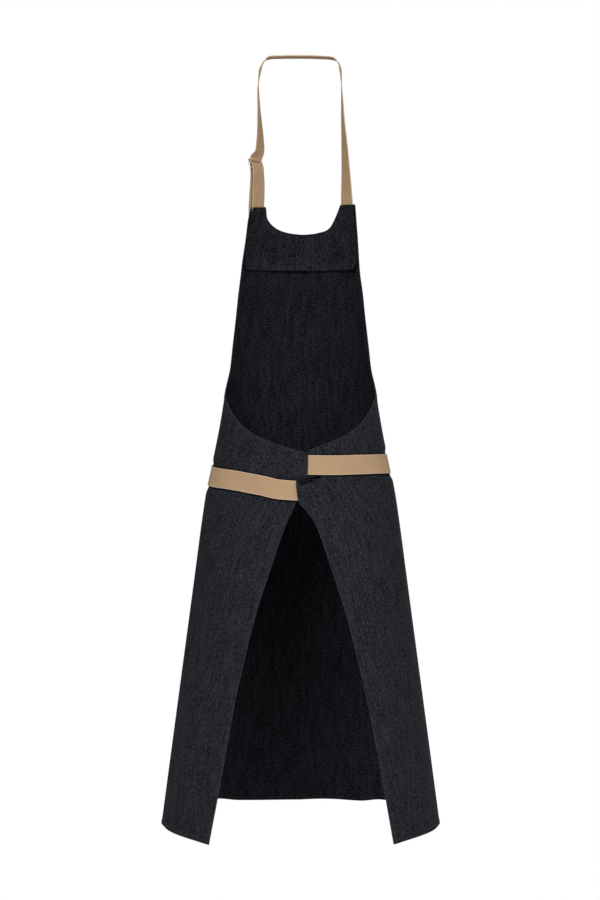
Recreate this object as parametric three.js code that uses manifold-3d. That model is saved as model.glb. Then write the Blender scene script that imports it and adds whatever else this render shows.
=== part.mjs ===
// Bib apron of dark denim with webbing straps, in the form it keeps when worn.
// Millimetres. +Z is up, +Y is the wearer's front and +X the wearer's right.
// The origin is the middle of the neck strap's underside, where it rests on the neck.
import * as THREE from "three";
import { mergeVertices } from "three/addons/utils/BufferGeometryUtils.js";
import Module from "manifold-3d";

// Driving dimensions
const DENIM = 1.2;
const GAP = 0.5;
const EAR_SAG = 0.7;
const TIE_CLEAR = 0.9;
const NECK_WEBBING = { width: 20, thickness: 1.4 };
const TIE_WEBBING = { width: 25.4, thickness: 1.4 };
const EAR_TOP = { left: 188.2, right: 185 };
const NECKLINE_TOOL = { above: 150, from_y: 20, to_y: 180, segments: 30 };
const FACING = {
  bottom: 272.5, below_ear: 2.6, narrower: 0.985, clear: 0.65, neckline_spare: 1, settles: [207, 226],
};
const FACING_LIFT = { from: 255, mean: 4.4, swing: 2.6, waves: 6, phase: 40 };
const HEM = { dips_from: 700, bottom_row: 998 };
const SLIDE = {
  length: 25, bar: 1.8, upper_slot: 4.6, lower_slot: 3.2, slot_length: 21.4, corner: 2.2, slot_corner: 0.6,
  aside: 0.8,
};

// Layers on the cloth, each as the distance of its near face from the cloth's inner face
const TIE_LAYER = DENIM + TIE_CLEAR;
const TIE_PITCH = TIE_WEBBING.thickness + GAP;
const TONGUE_LIFT = TIE_LAYER + TIE_WEBBING.thickness + GAP;
const EAR_LAYER = -GAP - EAR_SAG - NECK_WEBBING.thickness;

// The worn form: an oval at each drop below the neck strap, with the reach of its front and back,
// and how far the back is flattened between its side and its middle (1 is a plain oval)
const FORM = [
  { drop: 180, half_width: 82, centre_x: 3.5, centre_y: 8.5, front: 68, back: 60, flat: 1 },
  { drop: 230, half_width: 87.8, centre_x: 2, centre_y: 21, front: 66, back: 66, flat: 1 },
  { drop: 272, half_width: 92.8, centre_x: 0.3, centre_y: 31, front: 65, back: 70, flat: 1 },
  { drop: 327, half_width: 96.1, centre_x: 0, centre_y: 30, front: 72, back: 78, flat: 1 },
  { drop: 388, half_width: 97.8, centre_x: 0, centre_y: 23, front: 79, back: 82, flat: 1 },
  { drop: 428, half_width: 97.4, centre_x: 0, centre_y: 17, front: 83, back: 84, flat: 1 },
  { drop: 448, half_width: 99.7, centre_x: 0, centre_y: 14, front: 84, back: 85, flat: 1 },
  { drop: 487, half_width: 105.9, centre_x: 0, centre_y: 9, front: 85, back: 86.5, flat: 1 },
  { drop: 526, half_width: 113.6, centre_x: 0, centre_y: 4, front: 86, back: 88, flat: 1 },
  { drop: 565, half_width: 121.7, centre_x: 0, centre_y: 0, front: 92, back: 93, flat: 1 },
  { drop: 604, half_width: 127.5, centre_x: 0, centre_y: -4, front: 101, back: 98, flat: 1 },
  { drop: 682, half_width: 137.7, centre_x: 0, centre_y: -8, front: 117, back: 116, flat: 1.12 },
  { drop: 838, half_width: 158.3, centre_x: 0, centre_y: -16, front: 153, back: 158, flat: 1.33 },
  { drop: 1000, half_width: 179.6, centre_x: 0, centre_y: -24, front: 193, back: 217, flat: 1.75 },
];

// The cloth's two free edges: how far round from the middle of the front each one reaches
const EDGES = [
  { drop: 180, left: 54.4, right: 56 },
  { drop: 211, left: 58, right: 56.6 },
  { drop: 230, left: 57.9, right: 57 },
  { drop: 272, left: 58.3, right: 57.5 },
  { drop: 307, left: 60.6, right: 60.6 },
  { drop: 327, left: 62, right: 62 },
  { drop: 388, left: 68.6, right: 68.8 },
  { drop: 408, left: 72.6, right: 72.8 },
  { drop: 428, left: 84, right: 84.5 },
  { drop: 448, left: 104.5, right: 105.5 },
  { drop: 464, left: 119.2, right: 120 },
  { drop: 483, left: 135.5, right: 135.8 },
  { drop: 495, left: 148.6, right: 148.6 },
  { drop: 503, left: 159.6, right: 159.4 },
  { drop: 510, left: 169.5, right: 169.3 },
  { drop: 514.6, left: 178, right: 174.8 },
  { drop: 518.2, left: 184.6, right: 174.9 },
  { drop: 549.5, left: 184, right: 175 },
  { drop: 551, left: 183.8, right: 175.6 },
  { drop: 553, left: 183.4, right: 182.7 },
  { drop: 580, left: 177.5, right: 181.2 },
  { drop: 590, left: 175.5, right: 177.3 },
  { drop: 605.6, left: 172.2, right: 172.1 },
  { drop: 661, left: 164.2, right: 163.8 },
  { drop: 720, left: 157, right: 156.7 },
  { drop: 779, left: 152, right: 151.5 },
  { drop: 825, left: 148.8, right: 148.3 },
  { drop: 904, left: 145.3, right: 144.2 },
  { drop: 1000, left: 141, right: 140.3 },
];

// The hem's drop round from the middle of the front, alike on both sides
const HEM_LINE = [
  { round: 0, drop: 998.9 },
  { round: 12, drop: 997.4 },
  { round: 28, drop: 995.7 },
  { round: 39, drop: 990.9 },
  { round: 90, drop: 998.3 },
  { round: 141, drop: 1000 },
];

// The scoop of the neckline between the ears
const NECKLINE = [
  { x: -48, drop: 180 },
  { x: -46.8, drop: 190 },
  { x: -46, drop: 199.6 },
  { x: -42, drop: 207 },
  { x: -36.4, drop: 212.8 },
  { x: -28.5, drop: 217.7 },
  { x: -20, drop: 220.4 },
  { x: -9, drop: 222.4 },
  { x: 4, drop: 223.3 },
  { x: 17, drop: 222.3 },
  { x: 28, drop: 220.2 },
  { x: 34, drop: 218.4 },
  { x: 39, drop: 214.9 },
  { x: 44.2, drop: 207.4 },
  { x: 49.5, drop: 197.2 },
  { x: 54.7, drop: 184.2 },
  { x: 57, drop: 177 },
];
const NECKLINE_BOTTOM = 223.3;

// Soft flutes of the skirt, deepest at the hem
const FLUTES_FULL = 1060;
const FLUTES = [
  { angle: -64, spread: 26, from: 640, depth: -4 },
  { angle: -38, spread: 22, from: 600, depth: 5 },
  { angle: -15, spread: 18, from: 640, depth: -5 },
  { angle: 8, spread: 18, from: 620, depth: 5 },
  { angle: 32, spread: 20, from: 640, depth: -5 },
  { angle: 58, spread: 24, from: 600, depth: 4 },
  { angle: -118, spread: 20, from: 640, depth: 4 },
  { angle: 116, spread: 20, from: 660, depth: 4 },
];

// Rows of the cloth's mesh, closest together where the two wraps cross
const ROW_BANDS = [
  { from: 187, to: 275, rows: 5 },
  { from: 275, to: 428, rows: 5 },
  { from: 428, to: 512, rows: 11 },
  { from: 512, to: 545, rows: 5 },
  { from: 545, to: 557, rows: 7 },
  { from: 557, to: 612, rows: 8 },
  { from: 612, to: HEM.bottom_row, rows: 8 },
];
const BODY_ROWS = ROW_BANDS.reduce((sum, band) => sum + band.rows, 0);
const BODY_COLUMNS = 38;
const FACING_MESH = { columns: 26, rows: 8 };
const EDGE_CROWDING = 1.2;

// The tips of the wraps stand off the waist to let a tie under them: the left one over the right
// tie, the right one over the left tie. Each stretch runs from no lift to full lift, or back.
const TONGUES = {
  left: { angle: [157, 171], rises: [488, 512], falls: [545.5, 551.5] },
  right: { angle: [154, 169], rises: [545, 552.8], falls: [581, 612] },
};

// Neck strap: its middle line, and how far its near edge is turned towards the wearer's back
const NECK_RUN = [
  { x: 60.4, y: 46, drop: 148, turn: 55 },
  { x: 58.6, y: 34, drop: 116, turn: 65 },
  { x: 55.8, y: 20, drop: 76, turn: 80 },
  { x: 54, y: 8, drop: 41, turn: 89 },
  { x: 52, y: 2, drop: 16, turn: 97 },
  { x: 49, y: 0, drop: 6, turn: 114 },
  { x: 43.5, y: 0, drop: 1.8, turn: 114 },
  { x: 24, y: 0, drop: -0.2, turn: 90 },
  { x: 0, y: 0, drop: -0.7, turn: 90 },
  { x: -24, y: 0, drop: -0.5, turn: 90 },
  { x: -43, y: 0, drop: 1, turn: 66 },
  { x: -48.5, y: 0, drop: 6, turn: 66 },
  { x: -52.6, y: 2, drop: 16, turn: 83 },
  { x: -55.6, y: 8, drop: 36, turn: 91 },
  { x: -55, y: 18, drop: 66, turn: 98 },
  { x: -53.8, y: 29, drop: 94, turn: 112 },
  { x: -53.8, y: 33.5, drop: 106, turn: 120 },
  { x: -54.6, y: 38.3, drop: 117.5, turn: 129 },
];
const NECK_BEND = 16;

// The straps at the ears and at the slider, whose bars they turn round
const EAR_ANGLE = { left: -46.9, right: 45.7 };
const EAR_INSERT = 17;
const EAR_MOUTH = 1;
const SLIDER_AT = { x: -59, y: 43, drop: 133.6, turn: 137, lean: 17 };
const NECK_LOOP = { aside: 1.2, above: 0.6, end: 1.6 };
const ADJUSTER_LOOP = { aside: 0.4, below: 2.4, tail: 0.8 };
const ADJUSTER_MIDDLE = { x: -55.8, y: 47.5, drop: 163, turn: 143 };
const ADJUSTER_TAIL = [
  { below_ear: 0, round: -3 },
  { below_ear: 22, round: 0 },
  { below_ear: 46, round: 2 },
];
const TURN_STEPS = 6;
const STRAP_STEPS = 2;

// Ties: drop of the middle line at each angle, and its layer over the cloth
const TIE_RUN = {
  right: [
    { angle: 188, drop: 532.5, layer: 0 },
    { angle: 160, drop: 533.3, layer: 0 },
    { angle: 135, drop: 532.5, layer: 0 },
    { angle: 90, drop: 531.7, layer: 0 },
    { angle: 42, drop: 531.7, layer: 0 },
    { angle: 25, drop: 531.7, layer: 3 },
    { angle: 5, drop: 531.7, layer: 3 },
    { angle: -5, drop: 531.7, layer: 3 },
  ],
  left: [
    { angle: -184.5, drop: 565.5, layer: 0 },
    { angle: -178, drop: 565.4, layer: 0 },
    { angle: -168, drop: 564.4, layer: 0.9 },
    { angle: -156, drop: 559.2, layer: 0.4 },
    { angle: -147, drop: 556.2, layer: 0 },
    { angle: -130, drop: 552, layer: 0 },
    { angle: -90, drop: 546.8, layer: 0 },
    { angle: -50, drop: 536.5, layer: 0 },
    { angle: -38, drop: 534, layer: 0 },
    { angle: -23, drop: 532, layer: 1.3 },
    { angle: -5, drop: 531.7, layer: 1.3 },
    { angle: 5, drop: 531.7, layer: 1.3 },
  ],
};
const TIE_STEPS = 56;
const TIE_PRESS = { depth: 2, from: [48, 66], to: [140, 156], beside: [14, 23] };
const TAIL = { bend: 15.5, length: 175, spread: 4, steps: 8, settles: [0.1, 0.6] };
const KNOT = { width: 17, near: 0.2, far: 4.1, butt: 0.6, steps: 32 };

const MATERIALS = {
  denim: new THREE.MeshStandardMaterial({ name: "denim", color: 0x26272c, roughness: 0.95 }),
  webbing: new THREE.MeshStandardMaterial({ name: "webbing", color: 0xb39675, roughness: 0.9 }),
  steel: new THREE.MeshStandardMaterial({ name: "steel", color: 0xc9c9c6, metalness: 1, roughness: 0.3 }),
};

// How far to either side a surface is looked at for its slope, and how close corners are merged
const NEARBY = 0.5;
const WELD = 1e-5;

const radians = THREE.MathUtils.degToRad;
const smooth = (x, [from, to]) => THREE.MathUtils.smoothstep(x, from, to);

// A smooth curve through one column of a table, without overshoot between its rows
function columnOf(rows, key, name) {
  const xs = rows.map((row) => row[key]);
  const ys = rows.map((row) => row[name]);
  const last = xs.length - 1;
  const slope = (i) => (ys[i + 1] - ys[i]) / (xs[i + 1] - xs[i]);
  const tangents = xs.map((_, i) => {
    if (i === 0) return slope(0);
    if (i === last) return slope(last - 1);
    const product = slope(i - 1) * slope(i);
    return product <= 0 ? 0 : (2 * product) / (slope(i - 1) + slope(i));
  });
  return (x) => {
    let i = 0;
    while (i < last - 1 && x > xs[i + 1]) i += 1;
    const span = xs[i + 1] - xs[i];
    const t = THREE.MathUtils.clamp((x - xs[i]) / span, 0, 1);
    const rise = ys[i + 1] - ys[i];
    const start = tangents[i] * span;
    const end = tangents[i + 1] * span;
    return ys[i] + t * (start + t * (3 * rise - 2 * start - end + t * (start + end - 2 * rise)));
  };
}

const form = {};
for (const name of ["half_width", "centre_x", "centre_y", "front", "back", "flat"]) {
  form[name] = columnOf(FORM, "drop", name);
}
const edge = { left: columnOf(EDGES, "drop", "left"), right: columnOf(EDGES, "drop", "right") };
const hemLine = columnOf(HEM_LINE, "round", "drop");

function flute(angle, drop) {
  let sum = 0;
  for (const { angle: centre, spread, from, depth } of FLUTES) {
    const away = Math.min(1, Math.abs(angle - centre) / spread);
    sum += depth * Math.cos((away * Math.PI) / 2) ** 2 * smooth(drop, [from, FLUTES_FULL]);
  }
  return sum;
}

// How far a tie presses the cloth in at the wearer's side
const tieDrop = {
  left: columnOf(TIE_RUN.left, "angle", "drop"),
  right: columnOf(TIE_RUN.right.toReversed(), "angle", "drop"),
};
function press(angle, drop) {
  const middle = angle < 0 ? tieDrop.left(angle) : tieDrop.right(angle);
  const round = Math.abs(angle);
  const strength = smooth(round, TIE_PRESS.from) * (1 - smooth(round, TIE_PRESS.to));
  return TIE_PRESS.depth * strength * (1 - smooth(Math.abs(drop - middle), TIE_PRESS.beside));
}

// A point of the worn form, on the cloth's inner face
function formPoint(angle, drop) {
  const sine = Math.sin(radians(angle));
  const cosine = Math.cos(radians(angle));
  const out = flute(angle, drop) - press(angle, drop);
  const depth = cosine > 0 ? form.front(drop) * cosine : -form.back(drop) * (-cosine) ** form.flat(drop);
  return new THREE.Vector3(
    form.centre_x(drop) + (form.half_width(drop) + out) * sine,
    form.centre_y(drop) + depth + out * cosine,
    -drop,
  );
}

function formNormal(angle, drop) {
  const round = formPoint(angle + NEARBY, drop).sub(formPoint(angle - NEARBY, drop));
  const down = formPoint(angle, drop + NEARBY).sub(formPoint(angle, drop - NEARBY));
  return round.cross(down).normalize();
}

function onForm(angle, drop, away) {
  return formPoint(angle, drop).addScaledVector(formNormal(angle, drop), away);
}

// A closed slab of columns by rows, each of whose corners is placed by a function of
// across (-1 to 1), down (0 to 1) and side (0 inner, 1 outer)
function slab(columns, rows, place) {
  const geometry = new THREE.BoxGeometry(2, 1, 1, columns, rows, 1);
  const corners = geometry.attributes.position;
  for (let i = 0; i < corners.count; i += 1) {
    const side = 0.5 - corners.getZ(i);
    const point = place(corners.getX(i), 0.5 - corners.getY(i), side);
    corners.setXYZ(i, point.x, point.y, point.z);
  }
  geometry.deleteAttribute("normal");
  geometry.deleteAttribute("uv");
  return mergeVertices(geometry, WELD);
}

// A webbing strap through a list of stations, each with a centre and its flat face's normal
function ribbon(stations, { width, thickness }) {
  const last = stations.length - 1;
  return slab(1, last, (across, down, side) => {
    const i = Math.round(down * last);
    const { centre, normal } = stations[i];
    const ahead = stations[Math.min(i + 1, last)].centre;
    const behind = stations[Math.max(i - 1, 0)].centre;
    const along = ahead.clone().sub(behind).normalize();
    const wide = along.clone().cross(normal).normalize();
    const face = wide.clone().cross(along);
    return centre.clone()
      .addScaledVector(wide, (across * width) / 2)
      .addScaledVector(face, (side - 0.5) * thickness);
  });
}

const { Manifold, Mesh: ManifoldMesh } = await Module().then((wasm) => {
  wasm.setup();
  return wasm;
});

function toManifold(geometry) {
  const merged = mergeVertices(geometry, WELD);
  return new Manifold(new ManifoldMesh({
    numProp: 3,
    vertProperties: new Float32Array(merged.attributes.position.array),
    triVerts: new Uint32Array(merged.index.array),
  }));
}

function cut(geometry, tool) {
  const { vertProperties, triVerts } = toManifold(geometry).subtract(toManifold(tool)).getMesh();
  const result = new THREE.BufferGeometry();
  result.setAttribute("position", new THREE.BufferAttribute(vertProperties, 3));
  result.setIndex(new THREE.BufferAttribute(triVerts, 1));
  return result;
}

// The scoop of the neckline, made wider all round by a spare, runs through the front of the bib
function necklineTool(spare) {
  const curve = new THREE.SplineCurve(NECKLINE.map(({ x, drop }) => new THREE.Vector2(x, -drop)));
  const outline = [];
  for (let i = 0; i <= NECKLINE_TOOL.segments; i += 1) {
    const place = curve.getPoint(i / NECKLINE_TOOL.segments);
    const along = curve.getTangent(i / NECKLINE_TOOL.segments);
    outline.push(new THREE.Vector2(place.x + along.y * spare, place.y - along.x * spare));
  }
  outline.push(new THREE.Vector2(outline.at(-1).x, -NECKLINE_TOOL.above));
  outline.push(new THREE.Vector2(outline[0].x, -NECKLINE_TOOL.above));
  const tool = new THREE.ExtrudeGeometry(new THREE.Shape(outline), {
    depth: NECKLINE_TOOL.to_y - NECKLINE_TOOL.from_y,
    bevelEnabled: false,
  });
  tool.deleteAttribute("normal");
  tool.deleteAttribute("uv");
  tool.rotateX(Math.PI / 2);
  tool.translate(0, NECKLINE_TOOL.to_y, 0);
  return tool;
}

function wrapLift(angle, drop) {
  const tongue = angle < 0 ? TONGUES.left : TONGUES.right;
  const near = smooth(Math.abs(angle), tongue.angle);
  return TONGUE_LIFT * near * smooth(drop, tongue.rises) * (1 - smooth(drop, tongue.falls));
}

// The cloth's rows follow the ears at the top and the waving hem at the bottom
function rowDrop(angle, drop) {
  const ear = (EAR_TOP.left + EAR_TOP.right) / 2;
  const sideways = THREE.MathUtils.clamp(angle / EAR_ANGLE.right, -1, 1);
  const tilt = ((EAR_TOP.right - EAR_TOP.left) / 2) * sideways * (1 - smooth(drop, [ear, NECKLINE_BOTTOM]));
  const dip = hemLine(Math.abs(angle)) - HEM.bottom_row;
  return drop + tilt + dip * smooth(drop, [HEM.dips_from, HEM.bottom_row]);
}

function rowAt(down) {
  let row = Math.round(down * BODY_ROWS);
  for (const { from, to, rows } of ROW_BANDS) {
    if (row <= rows) return from + ((to - from) * row) / rows;
    row -= rows;
  }
  return ROW_BANDS.at(-1).to;
}

function clothAngle(across, drop) {
  const reach = across < 0 ? edge.left(drop) : edge.right(drop);
  return Math.sign(across) * reach * (1 - (1 - Math.abs(across)) ** EDGE_CROWDING);
}

// Apron body: one sheet of denim, from the bib's ears to the hem and round to the crossed wraps
function apronBody() {
  const cloth = slab(BODY_COLUMNS, BODY_ROWS, (across, down, side) => {
    const row = rowAt(down);
    const angle = clothAngle(across, row);
    const drop = rowDrop(angle, row);
    return onForm(angle, drop, wrapLift(angle, drop) + side * DENIM);
  });
  return cut(cloth, necklineTool(0));
}

// Bib facing: lies inside the bib, leaves room for the strap ends, and stands free below
function bibFacing() {
  const facing = slab(FACING_MESH.columns, FACING_MESH.rows, (across, down, side) => {
    const row = THREE.MathUtils.lerp(EAR_TOP.right + FACING.below_ear, FACING.bottom, down);
    const angle = clothAngle(across, row) * FACING.narrower;
    const room = EAR_LAYER * (1 - smooth(row, FACING.settles));
    const wave = Math.cos(radians(angle * FACING_LIFT.waves + FACING_LIFT.phase));
    const free = smooth(row, [FACING_LIFT.from, FACING.bottom]);
    const lift = (FACING_LIFT.mean + FACING_LIFT.swing * wave) * free;
    const away = room - lift - FACING.clear - DENIM * (1 - side);
    return onForm(angle, rowDrop(angle, row), away);
  });
  return cut(facing, necklineTool(FACING.neckline_spare));
}

// The slider's own axes: across its bars, up the strap, and out of its near face
function sliderAxes() {
  const turn = radians(SLIDER_AT.turn);
  const face = new THREE.Vector3(Math.sin(turn), Math.cos(turn), 0);
  const across = new THREE.Vector3(Math.cos(turn), -Math.sin(turn), 0);
  const up = new THREE.Vector3(0, 0, 1).applyAxisAngle(across, radians(SLIDER_AT.lean));
  face.applyAxisAngle(across, radians(SLIDER_AT.lean));
  const at = new THREE.Vector3(SLIDER_AT.x, SLIDER_AT.y, -SLIDER_AT.drop);
  return { across, up, face, at };
}

const SLIDE_HEIGHT = 3 * SLIDE.bar + SLIDE.upper_slot + SLIDE.lower_slot;
const TOP_BAR = (SLIDE_HEIGHT - SLIDE.bar) / 2;
const MIDDLE_BAR = TOP_BAR - SLIDE.bar - SLIDE.upper_slot;
const BOTTOM_BAR = -TOP_BAR;

function onSlider(aside, up, out) {
  const axes = sliderAxes();
  const place = axes.at.clone().addScaledVector(axes.across, aside);
  return place.addScaledVector(axes.up, up).addScaledVector(axes.face, out);
}

function roundedRectangle(path, wide, high, centre_y, radius) {
  const x = wide / 2 - radius;
  const low = centre_y - high / 2 + radius;
  const top = centre_y + high / 2 - radius;
  path.absarc(x, low, radius, -Math.PI / 2, 0, false);
  path.absarc(x, top, radius, 0, Math.PI / 2, false);
  path.absarc(-x, top, radius, Math.PI / 2, Math.PI, false);
  path.absarc(-x, low, radius, Math.PI, 1.5 * Math.PI, false);
  path.closePath();
  return path;
}

function strapSlider() {
  const shape = roundedRectangle(new THREE.Shape(), SLIDE.length, SLIDE_HEIGHT, 0, SLIDE.corner);
  const upper = TOP_BAR - (SLIDE.bar + SLIDE.upper_slot) / 2;
  const lower = MIDDLE_BAR - (SLIDE.bar + SLIDE.lower_slot) / 2;
  for (const [height, centre] of [[SLIDE.upper_slot, upper], [SLIDE.lower_slot, lower]]) {
    const slot = new THREE.Path();
    shape.holes.push(roundedRectangle(slot, SLIDE.slot_length, height, centre, SLIDE.slot_corner));
  }
  const outline = { depth: SLIDE.bar, bevelEnabled: false, curveSegments: 3 };
  const plate = new THREE.ExtrudeGeometry(shape, outline);
  plate.translate(0, 0, -SLIDE.bar / 2);
  const axes = sliderAxes();
  const right = axes.up.clone().cross(axes.face);
  const place = onSlider(SLIDE.aside, 0, 0);
  plate.applyMatrix4(new THREE.Matrix4().makeBasis(right, axes.up, axes.face).setPosition(place));
  return plate;
}

const TURN_CLEAR = 0.3;
const TURN_RADIUS = (SLIDE.bar / 2) * Math.SQRT2 + TURN_CLEAR + NECK_WEBBING.thickness / 2;

// A strap's half turn round a bar of the slider from the near side to the far side, either below
// the bar (-1) or above it (+1), added to the strap's points and normals
function addHalfTurn(strap, aside, bar, way) {
  const axes = sliderAxes();
  for (let step = 0; step <= TURN_STEPS; step += 1) {
    const swing = (Math.PI * step) / TURN_STEPS;
    const out = Math.cos(swing);
    const up = way * Math.sin(swing);
    strap.points.push(onSlider(aside, bar + up * TURN_RADIUS, out * TURN_RADIUS));
    strap.normals.push(axes.face.clone().multiplyScalar(out).addScaledVector(axes.up, up));
  }
}

// A strap beside a bar, on the slider's near side (1) or far side (-1)
function addBeside(strap, aside, bar, side) {
  strap.points.push(onSlider(aside, bar, side * TURN_RADIUS));
  strap.normals.push(sliderAxes().face.multiplyScalar(side));
}

// A strap's face where it hangs freely, turned about the upright from facing the wearer's front
function levelFace(turn) {
  return new THREE.Vector3(Math.sin(radians(turn)), Math.cos(radians(turn)), 0);
}

// The stretch of strap that is sewn inside an ear
function addEar(strap, side) {
  for (const drop of [EAR_TOP[side] + EAR_INSERT, EAR_TOP[side] - EAR_MOUTH]) {
    strap.points.push(onForm(EAR_ANGLE[side], drop, EAR_LAYER + NECK_WEBBING.thickness / 2));
    strap.normals.push(formNormal(EAR_ANGLE[side], drop).negate());
  }
}

// Stations along a smooth curve through points, with a normal for each point
function stationsThrough({ points, normals }, steps) {
  const curve = new THREE.CatmullRomCurve3(points, false, "centripetal");
  const count = (points.length - 1) * steps;
  const stations = [];
  for (let i = 0; i <= count; i += 1) {
    const at = i / steps;
    const row = Math.min(points.length - 2, Math.floor(at));
    const normal = normals[row].clone().lerp(normals[row + 1], at - row).normalize();
    stations.push({ centre: curve.getPoint(i / count), normal });
  }
  return stations;
}

// Neck strap: up from inside the right ear, over the neck, and round the slider's top bar. Its end
// lies behind the stretch that comes down to the slider.
function neckStrap() {
  const strap = { points: [], normals: [] };
  addEar(strap, "right");
  for (const { x, y, drop, turn } of NECK_RUN) {
    const bend = smooth(drop, [0, NECK_BEND]);
    const overhead = new THREE.Vector3(0, 0, bend - 1);
    strap.points.push(new THREE.Vector3(x, y, -drop));
    strap.normals.push(levelFace(turn).multiplyScalar(-Math.sign(x) * bend).add(overhead).normalize());
  }
  addBeside(strap, NECK_LOOP.aside, TOP_BAR + NECK_LOOP.above, 1);
  addHalfTurn(strap, NECK_LOOP.aside, TOP_BAR, -1);
  addBeside(strap, NECK_LOOP.aside, TOP_BAR + NECK_LOOP.end, -1);
  return ribbon(stationsThrough(strap, STRAP_STEPS), NECK_WEBBING);
}

// Adjuster strap: up from inside the left ear, over the slider's middle bar, and down in front
function adjusterStrap() {
  const strap = { points: [], normals: [] };
  addEar(strap, "left");
  const { x, y, drop, turn } = ADJUSTER_MIDDLE;
  strap.points.push(new THREE.Vector3(x, y, -drop));
  strap.normals.push(levelFace(turn));
  addBeside(strap, ADJUSTER_LOOP.aside, BOTTOM_BAR - ADJUSTER_LOOP.below, 1);
  addHalfTurn(strap, ADJUSTER_LOOP.aside, MIDDLE_BAR, 1);
  addBeside(strap, ADJUSTER_LOOP.tail, BOTTOM_BAR - ADJUSTER_LOOP.below, -1);
  for (const { below_ear, round } of ADJUSTER_TAIL) {
    const angle = EAR_ANGLE.left + round;
    const place = EAR_TOP.left + below_ear;
    strap.points.push(onForm(angle, place, DENIM + TIE_CLEAR + NECK_WEBBING.thickness / 2));
    strap.normals.push(formNormal(angle, place));
  }
  return ribbon(stationsThrough(strap, STRAP_STEPS), NECK_WEBBING);
}

const layerMiddle = (layer) => TIE_LAYER + TIE_WEBBING.thickness / 2 + layer * TIE_PITCH;

// Waist tie: round the waist on the cloth, through the knot, then down as a loose tail
function waistTie(side) {
  const rows = TIE_RUN[side];
  const turned = side === "right" ? rows.map((row) => ({ ...row, angle: -row.angle })) : rows;
  const sign = side === "right" ? -1 : 1;
  const dropAt = columnOf(turned, "angle", "drop");
  const layerAt = columnOf(turned, "angle", "layer");
  const first = turned[0].angle;
  const last = turned.at(-1).angle;
  const stations = [];
  for (let i = 0; i <= TIE_STEPS; i += 1) {
    const swept = THREE.MathUtils.lerp(first, last, i / TIE_STEPS);
    const angle = sign * swept;
    stations.push({
      centre: onForm(angle, dropAt(swept), layerMiddle(layerAt(swept))),
      normal: formNormal(angle, dropAt(swept)),
    });
  }
  const knot = dropAt(last);
  const layer = layerAt(last);
  const addAt = (x, drop, away) => {
    const angle = THREE.MathUtils.radToDeg(Math.asin(x / (form.half_width(drop) + away)));
    stations.push({ centre: onForm(angle, drop, away), normal: formNormal(angle, drop) });
  };
  const start = form.half_width(knot) * Math.sin(radians(last));
  for (let step = 1; step <= TAIL.steps; step += 1) {
    const swing = ((Math.PI / 2) * step) / TAIL.steps;
    const x = start + TAIL.bend * Math.sin(swing);
    addAt(sign * x, knot + TAIL.bend * (1 - Math.cos(swing)), layerMiddle(layer));
  }
  for (let step = 1; step <= TAIL.steps; step += 1) {
    const along = step / TAIL.steps;
    const x = start + TAIL.bend + TAIL.spread * along;
    const away = layerMiddle(layer * (1 - smooth(along, TAIL.settles)));
    addAt(sign * x, knot + TAIL.bend + TAIL.length * along, away);
  }
  return ribbon(stations, TIE_WEBBING);
}

// Knot: one flat loop round both ties, its ends butted behind them
function tieKnot() {
  const radius = ((KNOT.far - KNOT.near) * TIE_PITCH) / 2;
  const half = TIE_WEBBING.width / 2 + GAP;
  const loop = new THREE.Path();
  loop.moveTo(-radius, KNOT.butt / 2);
  loop.lineTo(-radius, half);
  loop.absarc(0, half, radius, Math.PI, 0, true);
  loop.absarc(0, -half, radius, 0, -Math.PI, true);
  loop.lineTo(-radius, -KNOT.butt / 2);
  const centre = onForm(0, TIE_RUN.right.at(-1).drop, layerMiddle(KNOT.near) + radius);
  const stations = [];
  for (let i = 0; i <= KNOT.steps; i += 1) {
    const at = loop.getPointAt(i / KNOT.steps);
    const along = loop.getTangentAt(i / KNOT.steps);
    stations.push({
      centre: centre.clone().add(new THREE.Vector3(0, at.x, at.y)),
      normal: new THREE.Vector3(0, -along.y, along.x),
    });
  }
  return ribbon(stations, { width: KNOT.width, thickness: TIE_WEBBING.thickness });
}

const apron = new THREE.Group();
apron.name = "apron";
const PIECES = [
  ["apron_body", apronBody(), "denim"],
  ["bib_facing", bibFacing(), "denim"],
  ["neck_strap", neckStrap(), "webbing"],
  ["adjuster_strap", adjusterStrap(), "webbing"],
  ["strap_slider", strapSlider(), "steel"],
  ["tie_left", waistTie("left"), "webbing"],
  ["tie_right", waistTie("right"), "webbing"],
  ["tie_knot", tieKnot(), "webbing"],
];
for (const [name, geometry, material] of PIECES) {
  const mesh = new THREE.Mesh(geometry, MATERIALS[material]);
  mesh.name = name;
  apron.add(mesh);
}

export default apron;
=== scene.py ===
# A bib apron of dark denim in the form it keeps when worn, seen from the back.
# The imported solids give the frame. Each takes its dressed form here, as cloth, webbing or metal.
import math

import bmesh
import bpy
import numpy as np
from mathutils import Matrix, Vector


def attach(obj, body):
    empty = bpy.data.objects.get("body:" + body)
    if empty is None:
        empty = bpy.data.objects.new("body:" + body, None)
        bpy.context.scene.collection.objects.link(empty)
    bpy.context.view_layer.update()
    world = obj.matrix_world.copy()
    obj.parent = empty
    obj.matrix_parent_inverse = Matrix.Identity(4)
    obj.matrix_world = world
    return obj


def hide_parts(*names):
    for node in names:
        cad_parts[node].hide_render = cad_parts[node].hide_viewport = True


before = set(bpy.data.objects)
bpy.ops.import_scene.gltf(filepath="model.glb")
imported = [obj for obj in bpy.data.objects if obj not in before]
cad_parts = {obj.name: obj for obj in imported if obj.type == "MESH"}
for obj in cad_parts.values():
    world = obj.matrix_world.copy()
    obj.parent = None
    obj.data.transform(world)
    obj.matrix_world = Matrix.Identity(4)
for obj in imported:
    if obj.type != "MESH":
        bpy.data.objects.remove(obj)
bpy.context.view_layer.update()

# Studio: a camera level with the middle of the apron, a white surround, and large soft lamps
# before and behind. The floor is a pale disc that lies below the hanging apron.
CAMERA_AT = (-0.0008, -2.8, -0.5135)
LENS_MM = 85.6
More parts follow.
